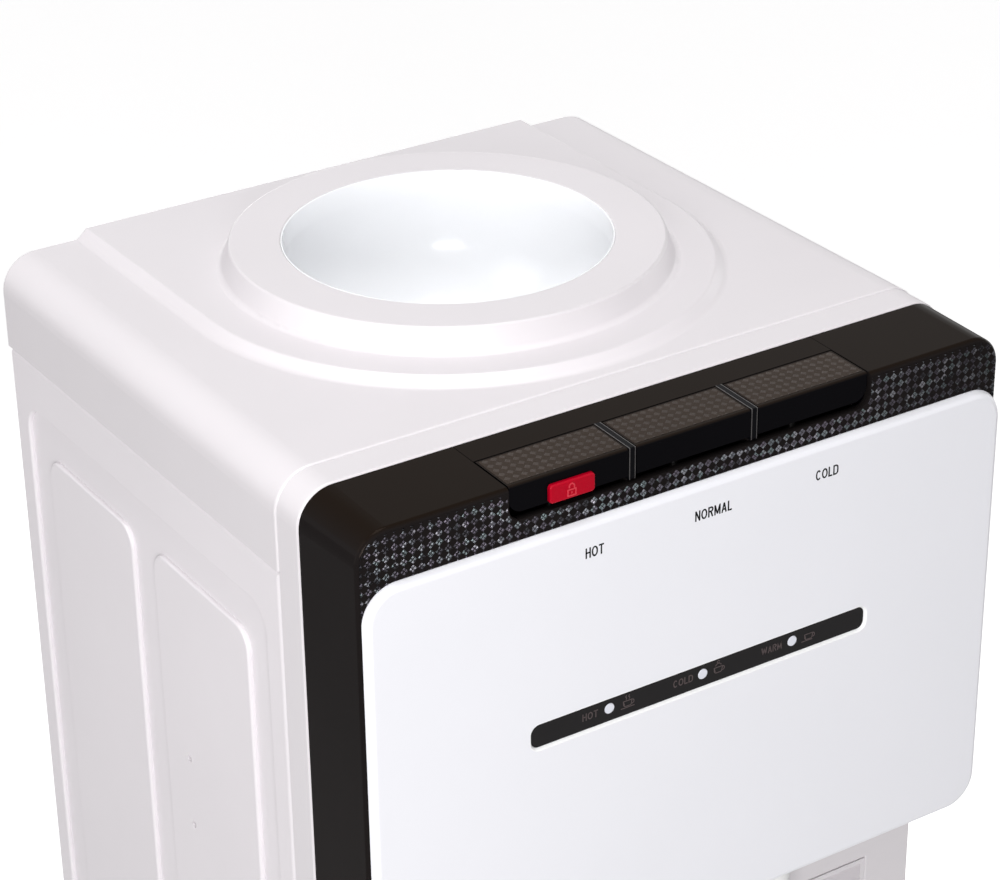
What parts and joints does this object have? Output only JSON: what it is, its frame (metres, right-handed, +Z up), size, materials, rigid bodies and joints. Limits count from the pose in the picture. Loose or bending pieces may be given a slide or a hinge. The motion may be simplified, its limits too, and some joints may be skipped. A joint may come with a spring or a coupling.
{
  "type": "water cooler",
  "caption": "Free-standing bottled water cooler: white cabinet, glossy black head with hot, normal and cold push buttons, bottle seat, dispensing alcove, drip tray and cabinet door.",
  "frame": {"origin": "floor level, midway across the width and the depth", "axes": "+Z up, -Y towards the front panel, +X to the right of someone who faces it"},
  "size_m": [0.31, 0.33, 0.9801],
  "materials": {
    "white_plastic": "satin moulded white",
    "bowl_plastic": "polished cool white",
    "panel_white": "polished white",
    "side_paint": "fine white powder coat",
    "rear_paint": "grey powder coat",
    "black_gloss": "polished black",
    "button_black": "black, textured top",
    "red_plastic": "red",
    "lens_dark": "smoked",
    "lamp_white": "frosted",
    "board_green": "coated board",
    "tray_grey": "fine grained",
    "black_rubber": "matt",
    "zinc_steel": "zinc plated",
    "stainless": "brushed",
    "copper": "drawn copper",
    "foam": "bead foam",
    "silicone": "translucent silicone",
    "compressor_black": "black enamel",
    "condenser_black": "black enamel",
    "switch_black": "matt",
    "switch_red": "gloss",
    "switch_green": "gloss",
    "tap_white": "moulded"
  },
  "bodies": {
    "cabinet": {"alcove_liner": "white_plastic", "bottle_bowl": "bowl_plastic", "button_carrier": "black_gloss", "button_pin": "zinc_steel", "button_rear_strip": "black_gloss", "cabinet_liner": "white_plastic", "cold_tank": "stainless", "compressor": "compressor_black", "condenser_grille": "condenser_black", "condenser_tube": "condenser_black", "cord_gland": "black_rubber", "door_hinge_pins": "zinc_steel", "drain_tube": "stainless", "evaporator_coil": "copper", "feed_tube": "stainless", "feet": "black_rubber", "front_frame": "white_plastic", "front_panel": "panel_white", "head_surround": "black_gloss", "heater_band": "stainless", "hose_cold": "silicone", "hose_hot": "silicone", "hose_normal": "silicone", "hot_tank": "stainless", "indicator_board": "board_green", "indicator_lens": "lens_dark", "indicator_lights": "lamp_white", "inner_shelves": "zinc_steel", "neck_gasket": "silicone", "plinth": "white_plastic", "rear_panel": "rear_paint", "rear_screws": "zinc_steel", "refrigerant_pipes": "copper", "side_panel_left": "side_paint", "side_panel_right": "side_paint", "spring_cold": "zinc_steel", "spring_hot": "zinc_steel", "spring_normal": "zinc_steel", "switch_bezel": "switch_black", "tank_insulation": "foam", "tap_cold": "tap_white", "tap_hot": "tap_white", "tap_normal": "tap_white", "top_cover": "white_plastic", "tray_ledge": "white_plastic"},
    "hot_button": {"button_hot": "button_black"},
    "normal_button": {"button_normal": "button_black"},
    "cold_button": {"button_cold": "button_black"},
    "lock_tab": {"hot_lock_tab": "red_plastic"},
    "hot_rod": {"rod_hot": "zinc_steel"},
    "normal_rod": {"rod_normal": "zinc_steel"},
    "cold_rod": {"rod_cold": "zinc_steel"},
    "tray": {"drip_tray": "tray_grey"},
    "grille": {"drip_grille": "tray_grey"},
    "door": {"door_shell": "white_plastic", "door_inner_panel": "white_plastic"},
    "hot_rocker": {"rocker_hot": "switch_red"},
    "cold_rocker": {"rocker_cold": "switch_green"},
    "cap": {"drain_cap": "black_rubber"}
  },
  "joints": [
    {"name": "hot_button_press", "type": "hinge", "parent": "cabinet", "child": "hot_button", "pos_m": [-0.0586, -0.1316, 0.9508], "axis": [1, 0, 0], "range_deg": [0, 4], "stiffness_Nm_per_rad": 0.1, "springref_deg": -17.19},
    {"name": "normal_button_press", "type": "hinge", "parent": "cabinet", "child": "normal_button", "pos_m": [-0.0008, -0.1316, 0.9508], "axis": [1, 0, 0], "range_deg": [0, 4], "stiffness_Nm_per_rad": 0.1, "springref_deg": -17.19},
    {"name": "cold_button_press", "type": "hinge", "parent": "cabinet", "child": "cold_button", "pos_m": [0.057, -0.1316, 0.9508], "axis": [1, 0, 0], "range_deg": [0, 4], "stiffness_Nm_per_rad": 0.1, "springref_deg": -17.19},
    {"name": "hot_rod_slide", "type": "slide", "parent": "cabinet", "child": "hot_rod", "axis": [0, 0, -1], "range_m": [0, 0.00107], "deforming": ["spring_hot"]},
    {"name": "normal_rod_slide", "type": "slide", "parent": "cabinet", "child": "normal_rod", "axis": [0, 0, -1], "range_m": [0, 0.00107], "deforming": ["spring_normal"]},
    {"name": "cold_rod_slide", "type": "slide", "parent": "cabinet", "child": "cold_rod", "axis": [0, 0, -1], "range_m": [0, 0.00107], "deforming": ["spring_cold"]},
    {"name": "lock_tab_slide", "type": "slide", "parent": "hot_button", "child": "lock_tab", "axis": [1, 0, 0], "range_m": [0, 0.003], "stiffness_N_per_m": 60, "springref_m": -0.01},
    {"name": "tray_slide", "type": "slide", "parent": "cabinet", "child": "tray", "axis": [0, -1, 0], "range_m": [0, 0.08]},
    {"name": "grille_lift", "type": "slide", "parent": "tray", "child": "grille", "axis": [0, 0, 1], "range_m": [0, 0.012]},
    {"name": "door_swing", "type": "hinge", "parent": "cabinet", "child": "door", "pos_m": [0.1455, -0.1372, 0.259], "axis": [0, 0, 1], "range_deg": [0, 100]},
    {"name": "hot_rocker_tilt", "type": "hinge", "parent": "cabinet", "child": "hot_rocker", "pos_m": [0.104, 0.1308, 0.714], "axis": [-1, 0, 0], "range_deg": [0, 16]},
    {"name": "cold_rocker_tilt", "type": "hinge", "parent": "cabinet", "child": "cold_rocker", "pos_m": [0.104, 0.1308, 0.686], "axis": [-1, 0, 0], "range_deg": [0, 16]},
    {"name": "cap_pull", "type": "slide", "parent": "cabinet", "child": "cap", "axis": [0, 1, 0], "range_m": [0, 0.016]}
  ],
  "couplings": [
    {"joint": "hot_button_press", "follows": "hot_rod_slide", "rad_per_m": 64.94},
    {"joint": "normal_button_press", "follows": "normal_rod_slide", "rad_per_m": 64.94},
    {"joint": "cold_button_press", "follows": "cold_rod_slide", "rad_per_m": 64.94}
  ]
}
